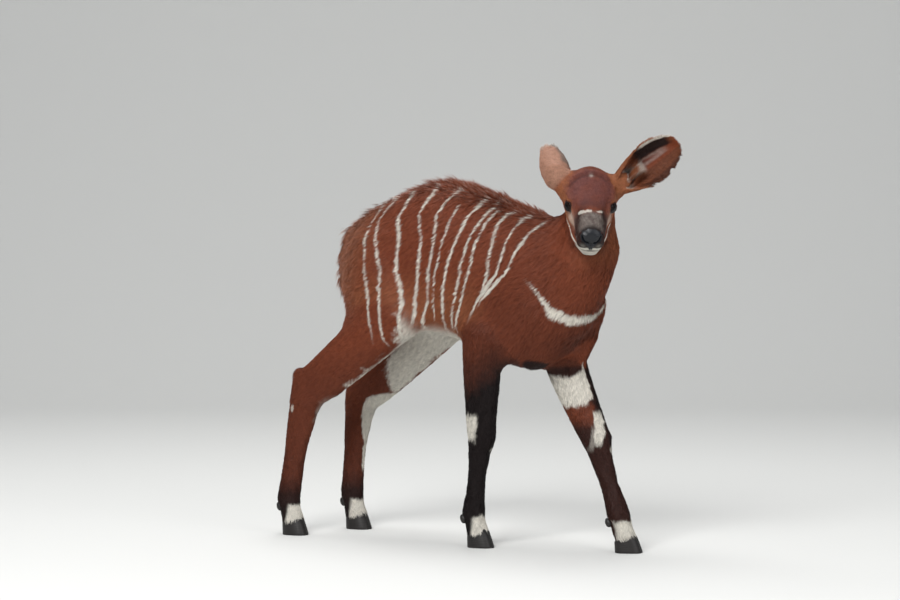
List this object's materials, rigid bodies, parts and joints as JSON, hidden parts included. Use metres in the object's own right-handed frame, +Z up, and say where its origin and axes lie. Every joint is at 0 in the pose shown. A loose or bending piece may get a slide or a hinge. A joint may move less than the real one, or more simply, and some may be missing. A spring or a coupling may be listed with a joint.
{
  "type": "bongo antelope calf, still life-size model",
  "caption": "Standing bongo antelope calf, life size, head turned to its right, one fore leg stretched forward, striped short coat and large ears.",
  "frame": {"origin": "on the floor, under the middle of the calf's box", "axes": "+X the way the body faces, +Y the calf's left, +Z up"},
  "size_m": [0.9534, 0.2884, 0.9011],
  "materials": {
    "coat": "short chestnut hair with thin cream stripes",
    "dark_coat": "very short black-brown hair with white patches",
    "horn": "dark hoof horn, half gloss",
    "eye": "wet, dark brown eye, full gloss"
  },
  "bodies": {
    "root": {"dewclaw_front_left_inner": "horn", "dewclaw_front_left_outer": "horn", "dewclaw_front_right_inner": "horn", "dewclaw_front_right_outer": "horn", "dewclaw_hind_left_inner": "horn", "dewclaw_hind_left_outer": "horn", "dewclaw_hind_right_inner": "horn", "dewclaw_hind_right_outer": "horn", "ear_left": "coat", "ear_right": "coat", "eye_left": "eye", "eye_right": "eye", "head": "coat", "hoof_front_left_inner": "horn", "hoof_front_left_outer": "horn", "hoof_front_right_inner": "horn", "hoof_front_right_outer": "horn", "hoof_hind_left_inner": "horn", "hoof_hind_left_outer": "horn", "hoof_hind_right_inner": "horn", "hoof_hind_right_outer": "horn", "leg_front_left_lower": "dark_coat", "leg_front_left_upper": "coat", "leg_front_right_lower": "dark_coat", "leg_front_right_upper": "coat", "leg_hind_left_lower": "coat", "leg_hind_left_upper": "coat", "leg_hind_right_lower": "coat", "leg_hind_right_upper": "coat", "neck": "coat", "tail": "coat", "trunk": "coat"}
  },
  "joints": []
}
